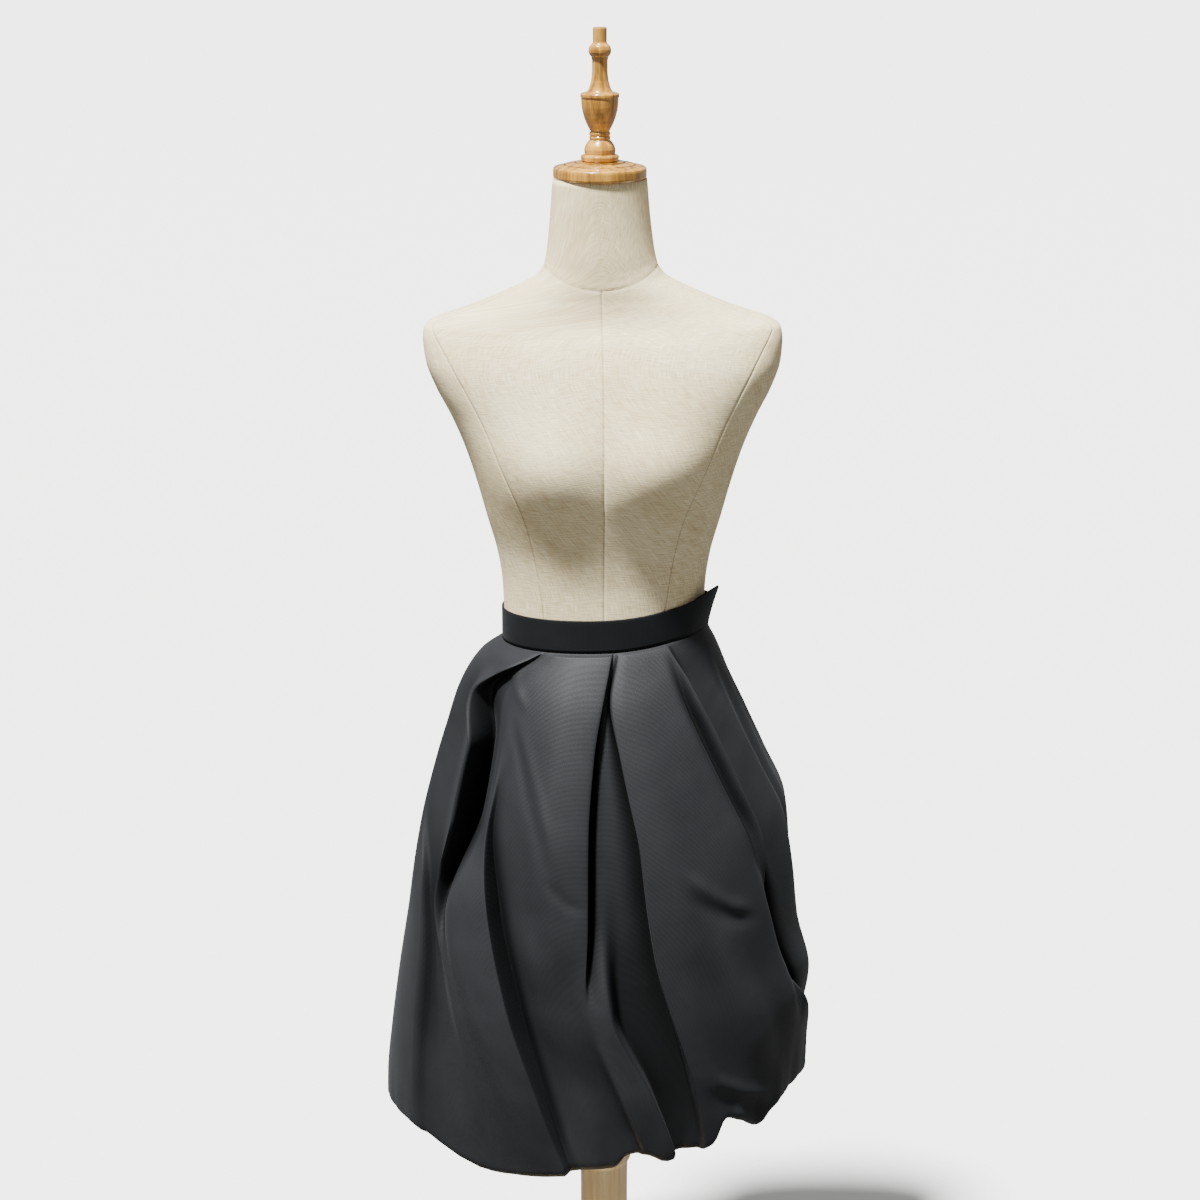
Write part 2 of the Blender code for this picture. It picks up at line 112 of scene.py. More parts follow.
# Fold lines run down the skirt. Each has its angle and its rise in mm at these drops in mm.
# A lip is a pleat's folded edge, and the root behind it lies under that edge.
FOLD_DROPS = (0, 50, 110, 190, 290, 400, 500, 600)
Fold = namedtuple("Fold", "name angles rises")
LEFT_SEAM = Fold("left_seam", (-96, -96, -96, -96, -95, -94, -93, -92), (0, 0, 0, 0, 0, 0, 0, 0))
FRONT_FOLDS = (
    LEFT_SEAM,
    Fold("strip_lip", (-84, -84, -83, -79, -66, -61, -59, -57), (0, 2, 3, 4, 7, 8, 6, 3)),
    Fold("strip_root", (-81, -81, -80, -76, -65, -58, -55, -52), (0, 0, -1, 0, -4, -8, -5, -2)),
    Fold("flap_crease", (-62, -71, -68, -64, -61, -51, -41, -30), (0, -6, -9, -5, -8, -7, -4, -2)),
    Fold("flap_lip", (-36, -61, -53, -53, -57.5, -46, -35, -25), (3, 12, 14, 13, 6, 1, 1, 0)),
    Fold("hollow_root", (-34, -57, -55, -55.5, -55.5, -42, -30, -20), (1, -14, -36, -46, -10, 8, 7, 2)),
    Fold("roll_crest", (-31, -46, -44.5, -43, -47, -35, -24, -15), (2, -9, -13, -8, 14, 18, 14, 4)),
    Fold("roll_lip", (-28, -38, -40, -40, -34, -25.5, -17, -10), (3, -2, -5, -1, 12, 14, 10, 3)),
    Fold("roll_root", (-26, -34, -36.5, -38.5, -34.5, -26, -17, -8), (4, 0, -4, -9, -20, -26, -22, -8)),
    Fold("panel_middle", (-12, -14, -15, -16, -14, -12, -5, -1), (6, 9, 12, 13, 10, -2, -10, -5)),
    Fold("centre_lip", (4.3, -0.4, -3.4, -4.6, -4.4, -5.4, 2.6, 12), (5, 7, 8, 9, 7, 3, -1, -1)),
    Fold("centre_root", (4.8, -1.6, -5.8, -7.2, -6.2, -2.4, 5.4, 14.4), (1, -9, -19, -22, -17, 6, 11, 4)),
    Fold("wedge_lip", (5.6, -0.2, -1.8, -2, -1.0, 2.0, 13, 22), (0, -5, -9, -9, -6, 9, 8, 3)),
    Fold("wedge_root", (6.4, 1.0, 1.6, 3.0, 3.6, 4.4, 14.4, 23.2), (0, -6, -10, -12, -13, -22, -24, -10)),
    Fold("inset_root", (7.0, 2.8, 6.4, 10.6, 13.7, 18.6, 25.4, 29.6), (0, -9, -15, -19, -21, -20, -13, -5)),
    Fold("inset_lip", (7.7, 3.0, 6.2, 10, 13, 18, 25.8, 31.6), (1, 1, 3, 4, 4, 4, 3, 1)),
    Fold("right_panel", (12, 7.5, 11, 15, 19.0, 26, 34, 41), (3, 4, 5, 5, 6, 6, 4, 1)),
    Fold("right_belly", (25, 28, 32, 35, 38, 46, 56, 61), (3, 7, 10, 11, 12, 12, 10, 4)),
    Fold("right_lip", (34.7, 43, 48, 51.5, 55.5, 64, 84, 97), (4, 11, 15, 16, 16, 14, 8, 2)),
    Fold("right_root", (37.0, 43.8, 49.2, 53.5, 58.5, 68.5, 89, 100), (2, -15, -28, -34, -35, -29, -12, -2)),
    Fold("side_face", (39.5, 47.5, 53, 57, 62, 72, 92, 102.5), (1, -7, -8, -6, -5, -4, -3, -1)),
    Fold("side_ridge", (50, 60, 67, 73, 79, 86, 97, 106), (1, -3, -2, 1, 4, 4, 2, 0)),
    Fold("side_valley", (62, 70, 77, 83, 88, 94, 102, 110), (0, -4, -5, -6, -6, -4, -2, 0)),
)
RIGHT_SEAM = Fold("right_seam", (86, 88, 90, 92, 96, 102, 110, 116), (0, 0, 0, 0, 0, 0, 0, 0))
BACK_FOLDS = (
    RIGHT_SEAM,
    Fold("back_a_lip", (104, 108, 113, 118, 124, 131, 138, 143), (2, 6, 9, 10, 10, 9, 7, 3)),
    Fold("back_a_root", (105, 108.6, 113, 118.5, 126, 134, 142, 147), (1, -7, -12, -15, -16, -14, -10, -4)),
    Fold("back_a_belly", (120, 124, 128, 133, 139, 146, 152, 156), (2, 4, 6, 7, 8, 8, 6, 3)),
    Fold("back_b_lip", (140, 143, 147, 150, 155, 160, 165, 168), (3, 8, 11, 12, 12, 11, 8, 3)),
    Fold("back_b_root", (141, 143.5, 147, 150.5, 157, 163, 169, 172), (1, -8, -14, -17, -18, -16, -11, -5)),
    Fold("back_middle", (165, 166, 168, 170, 173, 177, 181, 184), (3, 5, 7, 7, 8, 8, 6, 3)),
    Fold("back_c_lip", (186, 186, 187, 188, 190, 194, 199, 203), (3, 8, 10, 11, 11, 11, 8, 3)),
    Fold("back_c_root", (187, 186.5, 187, 188.5, 192, 197, 203, 207), (1, -8, -13, -16, -17, -16, -12, -5)),
    Fold("back_d_belly", (203, 202, 202, 203, 206, 210, 215, 219), (2, 4, 5, 6, 7, 8, 6, 3)),
    Fold("back_d_lip", (224, 221, 219, 218, 220, 225, 231, 235), (3, 8, 11, 11, 11, 10, 8, 3)),
    Fold("back_d_root", (225, 221.4, 219, 218.5, 222, 228, 235, 239), (1, -7, -14, -16, -17, -16, -11, -5)),
    Fold("back_e_belly", (243, 240, 238, 238, 241, 246, 250, 253), (1, 3, 4, 5, 6, 6, 5, 2)),
)

# The gathered hem's lowest drop and the radius of its rounded turn, both in mm, by angle
Hem = namedtuple("Hem", "angle drop roll")
HEM_WAVES = (
    Hem(-94, 606, 7),
    Hem(-80, 590, 7),
    Hem(-62, 588, 9),
    Hem(-46, 606, 11),
    Hem(-30, 620, 12),
    Hem(-15, 614, 14),
    Hem(-4, 607, 14),
    Hem(3, 603, 13),
    Hem(9, 583, 11),
    Hem(14, 579, 11),
    Hem(20, 592, 12),
    Hem(26, 590, 12),
    Hem(34, 584, 10),
    Hem(41, 552, 10),
    Hem(47, 564, 13),
    Hem(52, 578, 14),
    Hem(60, 561, 18),
    Hem(75, 556, 22),
    Hem(95, 566, 20),
    Hem(118, 584, 14),
    Hem(140, 570, 12),
    Hem(158, 592, 13),
    Hem(178, 574, 12),
    Hem(199, 600, 13),
    Hem(218, 582, 12),
    Hem(240, 606, 11),
    Hem(266, 610, 7),
)

# Soft creases from a top point to a low point: angles in degrees, the rest in mm.
# Width is how far a crease spreads, rise is its height or depth, bow bends it sideways.
# The two deepest run down the right pleat's slot.
Crease = namedtuple("Crease", "top_angle top_drop low_angle low_drop width rise bow")
CREASES = (
    Crease(-38, 70, -16, 245, 8, -2.2, 8),
    Crease(-34, 75, -13, 235, 7, 1.6, 8),
    Crease(-16, 240, -6, 275, 6, -1.8, -4),
    Crease(-30, 170, -20, 330, 16, -2.4, 6),
    Crease(-26, 300, -14, 470, 15, 2.6, 5),
    Crease(-12, 330, -2, 520, 14, -2.2, 4),
    Crease(24, 236, 46, 292, 7, 2.6, -6),
    Crease(25, 262, 47, 306, 9, -2.4, -6),
    Crease(34, 300, 50, 500, 20, 3.6, -6),
    Crease(28, 330, 42, 540, 18, -3.4, -5),
    Crease(26, 478, 55, 536, 8, 2.8, -5),
    Crease(30, 505, 56, 556, 10, -2.6, -5),
    Crease(44, 330, 62, 520, 16, -2.6, -5),
    Crease(36, 20, 51, 250, 8, -15.0, 4),
    Crease(51, 230, 68, 450, 9, -15.0, 2),
    Crease(14, 60, 26, 330, 26, 2.0, 4),
    Crease(20, 110, 34, 420, 22, -2.0, 4),
    Crease(-58, 330, -34, 560, 12, 1.8, 4),
    Crease(-66, 300, -50, 540, 14, -2.4, 5),
    Crease(-80, 60, -76, 330, 14, 2.0, 4),
    Crease(-88, 130, -84, 500, 16, -2.0, 0),
    Crease(-50, 5, -30, 60, 5, 1.6, -3),
    Crease(-72, 6, -40, 22, 4, 1.4, 2),
    Crease(-76, 14, -46, 34, 4, -1.4, 2),
    Crease(68, 20, 74, 200, 10, 2.0, 3),
    Crease(76, 60, 86, 330, 14, -2.4, 3),
    Crease(82, 250, 104, 520, 14, 2.6, 3),
    Crease(96, 30, 104, 260, 12, 2.0, 3),
    Crease(128, 210, 150, 262, 8, 2.4, -5),
    Crease(130, 236, 151, 284, 9, -2.2, -5),
    Crease(132, 90, 150, 400, 20, -2.2, 4),
    Crease(144, 420, 162, 540, 14, 2.6, 4),
    Crease(158, 100, 166, 420, 18, -2.0, -3),
    Crease(172, 260, 192, 330, 8, 2.2, 4),
    Crease(174, 286, 194, 350, 9, -2.0, 4),
    Crease(178, 380, 190, 560, 14, -2.6, 3),
    Crease(206, 130, 214, 430, 18, 2.4, 4),
    Crease(196, 420, 216, 556, 12, 2.2, -4),
    Crease(230, 240, 246, 300, 8, 2.2, -4),
    Crease(228, 300, 250, 520, 16, -2.6, 3),
    Crease(248, 90, 252, 420, 14, 2.2, 0),
    Crease(256, 300, 260, 560, 12, -2.0, 0),
)
# An angle's length on the cloth is taken at this radius
CREASE_RADIUS = 0.200
CREASES_FULL_BY = 0.020
# A crease grows and dies away between these shares of its length
CREASE_GROWS = (-0.10, 0.30)
CREASE_DIES = (0.70, 1.10)

# Short gathers that run up from the hem: angle in degrees, the rest in mm. GATHER_FADE is how
# fast they die away over their length.
Gather = namedtuple("Gather", "angle length width rise")
GATHERS = (
    Gather(-86, 60, 7, 0.8),
    Gather(-72, 90, 8, -1.0),
    Gather(-60, 70, 6, 0.8),
    Gather(-49, 110, 9, -1.6),
    Gather(-37, 80, 7, 1.0),
    Gather(-24, 90, 8, -1.4),
    Gather(-9, 100, 8, 2.0),
    Gather(1, 70, 6, -2.2),
    Gather(8, 60, 5, 2.0),
    Gather(17, 80, 7, 2.4),
    Gather(24, 60, 5, -2.6),
    Gather(41, 70, 6, 2.4),
    Gather(48, 90, 7, -2.4),
    Gather(57, 80, 7, 2.6),
    Gather(66, 100, 8, -3.0),
    Gather(80, 90, 8, 2.6),
    Gather(91, 70, 7, -2.6),
    Gather(103, 90, 8, 2.2),
    Gather(113, 70, 6, -2.4),
    Gather(125, 90, 7, 2.2),
    Gather(134, 60, 6, -2.0),
    Gather(149, 90, 8, 2.4),
    Gather(160, 70, 6, -2.2),
    Gather(173, 80, 7, 2.0),
    Gather(186, 90, 8, -2.6),
    Gather(197, 60, 6, 2.2),
    Gather(209, 90, 7, -2.2),
    Gather(222, 70, 7, 2.2),
    Gather(236, 90, 8, -2.4),
    Gather(247, 70, 6, 2.0),
    Gather(257, 80, 7, -1.8),
)
GATHER_FADE = 2.5

# The form's level sections: heights over the waist and half-widths in mm, and how square each is
FormRing = namedtuple("FormRing", "height half_width front back power")
FORM_RINGS = (
    FormRing(-255, 112, 72, 80, 2.0),
    FormRing(-250, 130, 82, 91, 2.0),
    FormRing(-232, 138, 87, 96, 2.0),
    FormRing(-195, 141, 88, 98, 2.0),
    FormRing(-135, 133, 83, 94, 2.0),
    FormRing(-85, 122, 78, 87, 2.0),
    FormRing(-42, 114, 76.5, 79, 2.0),
    FormRing(0, 115.9, 77.9, 79.9, 2.0),
    FormRing(25, 117, 79, 81, 2.05),
    FormRing(60, 122, 83, 83, 2.1),
    FormRing(105, 134, 91, 90, 2.15),
    FormRing(150, 146, 97, 96, 2.2),
    FormRing(190, 159, 98, 101, 2.25),
    FormRing(225, 174, 96, 105, 2.3),
    FormRing(255, 189, 91, 106, 2.4),
    FormRing(285, 199, 82, 103, 2.5),
    FormRing(308, 201, 71, 97, 2.5),
    FormRing(321, 199, 62, 90, 2.5),
    FormRing(328, 190, 58, 86, 2.4),
    FormRing(337, 165, 55, 81, 2.2),
    FormRing(347, 138, 53, 75, 2.1),
    FormRing(358, 112, 52, 69, 2.0),
    FormRing(369, 88, 52, 63, 2.0),
    FormRing(380, 70, 52, 58, 2.0),
    FormRing(393, 62.5, 52, 55, 2.0),
    FormRing(428, 57, 50, 51, 2.0),
    FormRing(484, 52, 48, 48, 2.0),
)
BUST_HEIGHT = 0.176
BUST_SPREAD = 0.060
BUST_RISE = 0.022
BUST_WIDTH = 0.066
BUST_LENGTH = 0.058
# The form leans sideways by FORM_LEAN_TOP between these heights
LEAN_FROM = 0.20
LEAN_TO = 0.48

# Where the form's seams lie: how far each is from the middle in mm at heights over the waist
SeamPoint = namedtuple("SeamPoint", "height front back")
PRINCESS_SEAM = (
    SeamPoint(-255, 62, 60),
    SeamPoint(-195, 78, 74),
    SeamPoint(-85, 72, 62),
    SeamPoint(0, 69, 55),
    SeamPoint(25, 71, 56),
    SeamPoint(108, 84, 68),
    SeamPoint(175, 110, 88),
    SeamPoint(224, 130, 108),
    SeamPoint(284, 161, 140),
    SeamPoint(321, 188, 172),
)
SEAM_DEPTH = 0.0009
SEAM_WIDTH = 0.0010
# The mesh's columns on each side of a seam, and where the panel's even columns begin
SEAM_COLUMNS = np.array([0.0, 0.0007, 0.0018])
SEAM_MARGIN = 0.004
# A seam stays within this share of the form's half-width
SEAM_REACH = 0.97
# A distance to the nearest seam that is too long to show one
NO_SEAM = 1.0
# The form's mesh changes its row spacing at these heights, and has these rows between them. It
# is finest round the neck seam.
FORM_ROW_HEIGHTS = (-0.255, -0.250, 0.285, 0.343, 0.400, 0.484)
FORM_ROW_COUNTS = (3, 75, 29, 35, 13)
NECK_SEAM_HEIGHT = 0.368
NECK_SEAM_RISE = 0.022

# Turned pieces: radius and height over the waist in mm, from the top down
Turn = namedtuple("Turn", "radius height")
FINIAL_PROFILE = (
    Turn(7.0, 645.5),
    Turn(7.6, 644.5),
    Turn(7.6, 629.5),
    Turn(8.6, 628.0),
    Turn(11.3, 625.6),
    Turn(12.4, 622.0),
    Turn(12.3, 618.8),
    Turn(11.0, 616.0),
    Turn(9.2, 614.4),
    Turn(9.0, 611.8),
    Turn(8.5, 610.6),
    Turn(8.5, 598.0),
    Turn(9.5, 589.0),
    Turn(11.6, 582.0),
    Turn(13.8, 577.6),
    Turn(20.6, 575.8),
    Turn(21.3, 574.6),
    Turn(21.3, 572.0),
    Turn(20.4, 570.6),
    Turn(20.4, 567.0),
    Turn(19.9, 561.0),
    Turn(18.9, 555.6),
    Turn(17.2, 549.6),
    Turn(15.0, 543.8),
    Turn(12.6, 539.0),
    Turn(11.0, 536.2),
    Turn(10.4, 535.0),
    Turn(11.6, 533.4),
    Turn(11.6, 531.4),
    Turn(10.5, 530.2),
    Turn(11.6, 529.0),
    Turn(11.6, 527.0),
    Turn(10.9, 526.0),
    Turn(13.4, 523.6),
    Turn(15.9, 520.0),
    Turn(17.2, 515.6),
    Turn(16.9, 511.4),
    Turn(16.4, 510.4),
    Turn(20.2, 509.4),
    Turn(21.0, 507.6),
    Turn(20.6, 504.0),
    Turn(19.0, 502.8),
)
CAP_PROFILE = (
    Turn(26.4, 502.5),
    Turn(26.8, 500.3),
    Turn(27.6, 500.3),
    Turn(28.0, 501.5),
    Turn(38.2, 500.2),
    Turn(38.6, 498.2),
    Turn(39.4, 498.2),
    Turn(39.8, 499.3),
    Turn(49.6, 497.0),
    Turn(51.0, 495.6),
    Turn(51.4, 493.4),
    Turn(51.4, 486.4),
    Turn(50.2, 484.3),
)
HIP_PLATE_PROFILE = (
    Turn(58.0, -255.3),
    Turn(60.0, -257.5),
    Turn(60.0, -266.0),
    Turn(58.0, -268.0),
)
POLE_PROFILE = (
    Turn(26.3, -268.3),
    Turn(26.3, -683.0),
    Turn(28.6, -687.0),
    Turn(31.2, -699.0),
    Turn(33.0, -716.0),
    Turn(33.0, -724.0),
    Turn(29.0, -730.0),
    Turn(29.0, -940.0),
    Turn(33.0, -950.0),
    Turn(40.0, -975.0),
    Turn(48.0, -990.0),
    Turn(48.0, -1003.7),
)
BASE_PROFILE = (
    Turn(150.0, -1004.0),
    Turn(160.0, -1006.0),
    Turn(165.0, -1012.0),
    Turn(165.0, -1026.0),
    Turn(161.0, -1030.0),
)

# A point of a turned outline is in a groove where the outline rises over it again further on, by
# more than GROOVE_DEPTH. Edges that turn by more than SHARP_EDGE degrees stay sharp.
# The wood's look darkens the points in a groove as painted shade.
GROOVE_DEPTH = 0.0003
SHARP_EDGE = 35

# Waistband ends, in degrees: it starts under its own far end at the wearer's left side
BAND_START = 62.0
BAND_END = 439.0
BAND_LIFT_STARTS = 398.0
BAND_LIFT_ENDS = 416.0
BAND_LIFT = BAND_WALL + 0.0005
TIP_STARTS = 406.0
TIP_OUT = 0.012
TIP_UP = 0.011
TIP_ROUNDING = 0.003

# How many of a pattern's marks lie in a metre. Threads are drawn 0.7 to 1.1 mm apart, which is
# coarser than the real ones, so that they show in the render. Three numbers give a mark that is
# longer one way: linen slubs of 17 mm, wood grain of 110 mm and pores of 17 mm.
CLOTH_THREADS = 1400.0
CLOTH_CLOUDS = 18.0
LINEN_WEFT = (60.0, 900.0, 1.0)
LINEN_WARP = (900.0, 60.0, 1.0)
LINEN_CLOUDS = 9.0
WOOD_GRAIN = (110.0, 110.0, 9.0)
WOOD_PORES = (900.0, 900.0, 60.0)

# The camera looks down from in front. The sun stands high on its side, a little to its left.
# Angles are in degrees.
CAMERA_DISTANCE = 2.6
CAMERA_HEIGHT = 1.83
CAMERA_TILT = 17.103
LENS_MM = 70.5
SENSOR_MM = 36
PICTURE_PIXELS = 1200
SHIFT_PIXELS = -4
SUN_STRENGTH = 15.5
SUN_SPREAD = 6
SUN_TILT = 21
SUN_TURN = -40
ROOM_LIGHT = 0.36
FLOOR_REACH = 60.0

UP = np.array([0, 0, 1])


def smooth(stations, values, at):
    """Values at new places on a smooth curve that never overshoots its stations."""
    stations = np.asarray(stations, float)
    values = np.asarray(values, float).reshape(len(stations), -1)
    step = np.diff(stations)[:, None]
    slope = np.diff(values, axis=0) / step
    tangent = np.vstack([slope[:1], np.zeros_like(slope[1:]), slope[-1:]])
    before, after = slope[:-1], slope[1:]
    same_way = before * after > 0
    near, far = 2 * step[1:] + step[:-1], step[1:] + 2 * step[:-1]
    safe_before = np.where(same_way, before, 1.0)
    safe_after = np.where(same_way, after, 1.0)
    mean = (near + far) / (near / safe_before + far / safe_after)
    tangent[1:-1] = np.where(same_way, mean, 0.0)
    at = np.clip(np.asarray(at, float), stations[0], stations[-1])
    index = np.clip(np.searchsorted(stations, at, side="right") - 1, 0, len(step) - 1)
    width = step[index]
    part = ((at - stations[index])[:, None]) / width
    return (
        values[index] * (1 + 2 * part) * (1 - part) ** 2
        + tangent[index] * width * part * (1 - part) ** 2
        + values[index + 1] * part**2 * (3 - 2 * part)
        + tangent[index + 1] * width * part**2 * (part - 1)
    )


def ease(low, high, value):
    """0 below low, 1 above high, and an even S between them."""
    part = np.clip((np.asarray(value, float) - low) / (high - low), 0, 1)
    return part * part * (3 - 2 * part)


def unit(vectors):
    return vectors / np.linalg.norm(vectors, axis=-1, keepdims=True)


def plain_point(angles, drops, rises):
    """Points of the skirt's surface, and the level directions that face out of it."""
    drops = np.asarray(drops, float)
    table = np.array([row[1:] for row in SKIRT_SECTIONS]) * MM
    stations = np.array([row.drop for row in SKIRT_SECTIONS]) * MM
    left, right, front, back = smooth(stations, table, drops.ravel()).T.reshape(4, *drops.shape)
    turn = np.radians(angles)
    across = np.where(np.sin(turn) > 0, right, left)
    along = np.where(np.cos(turn) > 0, front, back)
    out = unit(np.stack([np.sin(turn) / across, -np.cos(turn) / along], -1))
    level = np.stack([across * np.sin(turn), -along * np.cos(turn)], -1) + rises[..., None] * out
    ahead = np.clip(0.5 - level[..., 1] / CLIMB_ENDS, 0, 1)
    climb = BAND_TILT * level[..., 0] + SIDE_CLIMB * ahead * np.clip(level[..., 0], 0, None) ** 2
    tilt = climb * (1 - np.clip(drops / TILT_FADES_BY, 0, 1)) ** 2
    height = WAIST_HEIGHT - BAND_HEIGHT - BAND_GAP + tilt - drops
    return np.concatenate([level, height[..., None]], -1), np.concatenate([out, 0 * out[..., :1]], -1)


def fold_grid(folds, drops):
    """Angles and rises of every column at each drop, and the right seam's column."""
    stations = np.array(FOLD_DROPS) * MM
    lines = np.array([[*fold.angles, *fold.rises] for fold in folds], float)
    count = len(FOLD_DROPS)
    angles = smooth(stations, lines[:, :count].T, drops)
    rises = smooth(stations, lines[:, count:].T, drops) * MM
    wrapped_angles = np.hstack([angles[:, -2:] - 360, angles, angles[:, :3] + 360])
    wrapped_rises = np.hstack([rises[:, -2:], rises, rises[:, :3]])
    middle = len(drops) // 2
    level = np.full(wrapped_angles.shape[1], drops[middle])
    spots = plain_point(wrapped_angles[middle], level, wrapped_rises[middle])[0]
    spans = np.linalg.norm(np.diff(spots[2:-2], axis=0), axis=1)
    steps = [max(4, round(span / COLUMN_SPACING)) for span in spans[: len(folds)]]
    columns = [k + 2 + i / n for k, n in enumerate(steps) for i in range(n)]
    names = [fold.name for fold in folds]
    right = sum(steps[: names.index("right_seam")])
    places = np.arange(wrapped_angles.shape[1])
    return (
        smooth(places, wrapped_angles.T, columns).T,
        smooth(places, wrapped_rises.T, columns).T,
        right,
    )


def crease_rise(angles, drops, low):
    """How far the soft creases and the hem's gathers lift each point, in metres."""
    along = np.radians(angles) * CREASE_RADIUS
    total = np.zeros(np.shape(along))
    for row in CREASES:
        start = np.array([math.radians(row.top_angle) * CREASE_RADIUS, row.top_drop * MM])
        end = np.array([math.radians(row.low_angle) * CREASE_RADIUS, row.low_drop * MM])
        run = end - start
        length = np.hypot(*run)
        part = ((along - start[0]) * run[0] + (drops - start[1]) * run[1]) / length**2
        side = ((along - start[0]) * run[1] - (drops - start[1]) * run[0]) / length
        side = side - row.bow * MM * 4 * part * (1 - part)
        fade = ease(*CREASE_GROWS, part) * (1 - ease(*CREASE_DIES, part))
        total += row.rise * MM * np.exp(-((side / (row.width * MM)) ** 2)) * fade
    for row in GATHERS:
        side = along - math.radians(row.angle) * CREASE_RADIUS
        up = (low - drops) / (row.length * MM)
        fade = np.exp(-GATHER_FADE * np.clip(up, 0, None) ** 2)
        total += row.rise * MM * np.exp(-((side / (row.width * MM)) ** 2)) * fade
    return total


def skirt_rings():
    """Outer points of the whole skirt as rows of closed rings, and the right seam's column."""
    reach = max(row.drop for row in HEM_WAVES) * MM
    drops = np.linspace(0, reach, DROP_SAMPLES)
    angles, rises, right = fold_grid(FRONT_FOLDS + BACK_FOLDS, drops)
    hem_table = np.array([row[1:] for row in HEM_WAVES]) * MM
    hem_angles = [row.angle for row in HEM_WAVES]
    low, roll = smooth(hem_angles, hem_table, angles[-1]).T
    start = TOP_DROPS[-1] * MM
    levels = [np.full(len(low), drop * MM) for drop in TOP_DROPS]
    for share in np.linspace(0, 1, LOWER_ROWS)[1:]:
        levels.append(start + share * (low - roll - start))
    rows = []
    for at in levels:
        angle = np.array([np.interp(at[i], drops, angles[:, i]) for i in range(len(at))])
        rise = np.array([np.interp(at[i], drops, rises[:, i]) for i in range(len(at))])
        tucked = 1 - ease(TUCK_FULL_TO, TUCK_GONE_BY, at)
        rise = rise * (1 - tucked) - TUCK * tucked
        rise = rise + crease_rise(angle, at, low) * ease(0.0, CREASES_FULL_BY, at)
        points, out = plain_point(angle, at, rise)
        rows.append(points)
    edge = rows[-1]
    for step in range(1, ROLL_STEPS + 1):
        turn = math.pi * step / ROLL_STEPS
        inward = roll[:, None] * (1 - math.cos(turn)) * -out
        rows.append(edge + inward - roll[:, None] * math.sin(turn) * UP)
    turned = rows[-1]
    for share in TURN_UP_SHARES:
        rows.append(turned + share * TURN_UP * (UP - TURN_UP_LEAN * out))
    return np.array(rows), right


def wall_offset(rings, wall):
    """From each outer point to the wall's inner point, longer where the cloth folds sharply."""
    ahead = unit(np.roll(rings, -1, axis=1) - rings)
    behind = np.roll(ahead, 1, axis=1)
    down = np.gradient(rings, axis=0)
    normal = unit(np.cross(down, ahead + behind))
    half_turn = np.sqrt((1 + np.sum(ahead * behind, axis=-1, keepdims=True)) / 2)
    return -wall * normal / np.maximum(half_turn, SHARPEST_MITRE)


def openness(rings):
    """How far the cloth lies clear of its own fold walls: 1 on a smooth part and near 0 deep in a fold. The
    skirt's look turns it into painted shade.
    """
    spots = rings[..., :2]
    out = unit(spots)
    walls = np.zeros(spots.shape[:2])
    for side in (1, -1):
        steepest = np.zeros(spots.shape[:2])
        for step in range(1, FOLD_REACH + 1):
            away = np.roll(spots, side * step, axis=1) - spots
            rise = np.sum(away * out, axis=-1)
            level = np.linalg.norm(away - rise[..., None] * out, axis=-1)
            steepest = np.maximum(steepest, np.arctan2(rise, level + MM))
        walls += steepest
    free = 1 - walls / math.pi
    for axis in (0, 1, 0, 1):
        free = (np.roll(free, 1, axis) + 2 * free + np.roll(free, -1, axis)) / 4
    return free


def linear(code):
    """A colour code as linear red, green, blue and full alpha."""
    parts = [int(code[i : i + 2], 16) / 255 for i in (0, 2, 4)]
    return (*[p / 12.92 if p <= 0.04045 else ((p + 0.055) / 1.055) ** 2.4 for p in parts], 1.0)


def path_lengths(points, axis):
    """Distance along each row or column of a grid of points."""
    steps = np.linalg.norm(np.diff(points, axis=axis), axis=-1)
    zero = np.zeros_like(np.take(steps, [0], axis=axis))
    return np.concatenate([zero, np.cumsum(steps, axis=axis)], axis=axis)


def grid_object(name, sheets, look, closed=False, across=None, along=None):
    """A wall between two sheets of points, or one sheet closed round, with a cloth map in metres."""
    mesh = bpy.data.meshes.new(name)
    tools = bmesh.new()
    cloth_map = tools.loops.layers.uv.new("cloth")
    rows, columns = sheets[0].shape[:2]
    grids = [[[tools.verts.new(p) for p in row] for row in sheet] for sheet in sheets]

    def add(corners, places):
        face = tools.faces.new(corners)
        face.smooth = True
        for loop, (row, column) in zip(face.loops, places):
            loop[cloth_map].uv = (across[row][column], along[row][column])

    for k, grid in enumerate(grids):
        for row in range(rows - 1):
            for column in range(columns - 1):
                places = [(row, column), (row + 1, column), (row + 1, column + 1), (row, column + 1)]
                if k:
                    places.reverse()
                add([grid[i][j] for i, j in places], places)
            if closed:
                places = [(row, columns - 1), (row + 1, columns - 1), (row + 1, 0), (row, 0)]
                add([grid[i][j] for i, j in places], places)
    if len(grids) == 2:
        outer, inner = grids
        for column in range(columns - 1):
            for row, turn in ((0, 1), (rows - 1, -1)):
                places = [(row, column), (row, column + 1)][::turn]
                a, b = places
                corners = [outer[a[0]][a[1]], outer[b[0]][b[1]], inner[b[0]][b[1]], inner[a[0]][a[1]]]
                add(corners, [a, b, b, a])
        for row in range(rows - 1):
            for column, turn in ((0, -1), (columns - 1, 1)):
                a, b = [(row, column), (row + 1, column)][::turn]
                corners = [outer[a[0]][a[1]], outer[b[0]][b[1]], inner[b[0]][b[1]], inner[a[0]][a[1]]]
                add(corners, [a, b, b, a])
    elif closed:
        tools.faces.new(grids[0][0])
        tools.faces.new(grids[0][-1][::-1])
    bmesh.ops.recalc_face_normals(tools, faces=tools.faces)
    tools.to_mesh(mesh)
    tools.free()
    mesh.materials.append(look)
    made = bpy.data.objects.new(name, mesh)
    bpy.context.scene.collection.objects.link(made)
    return made


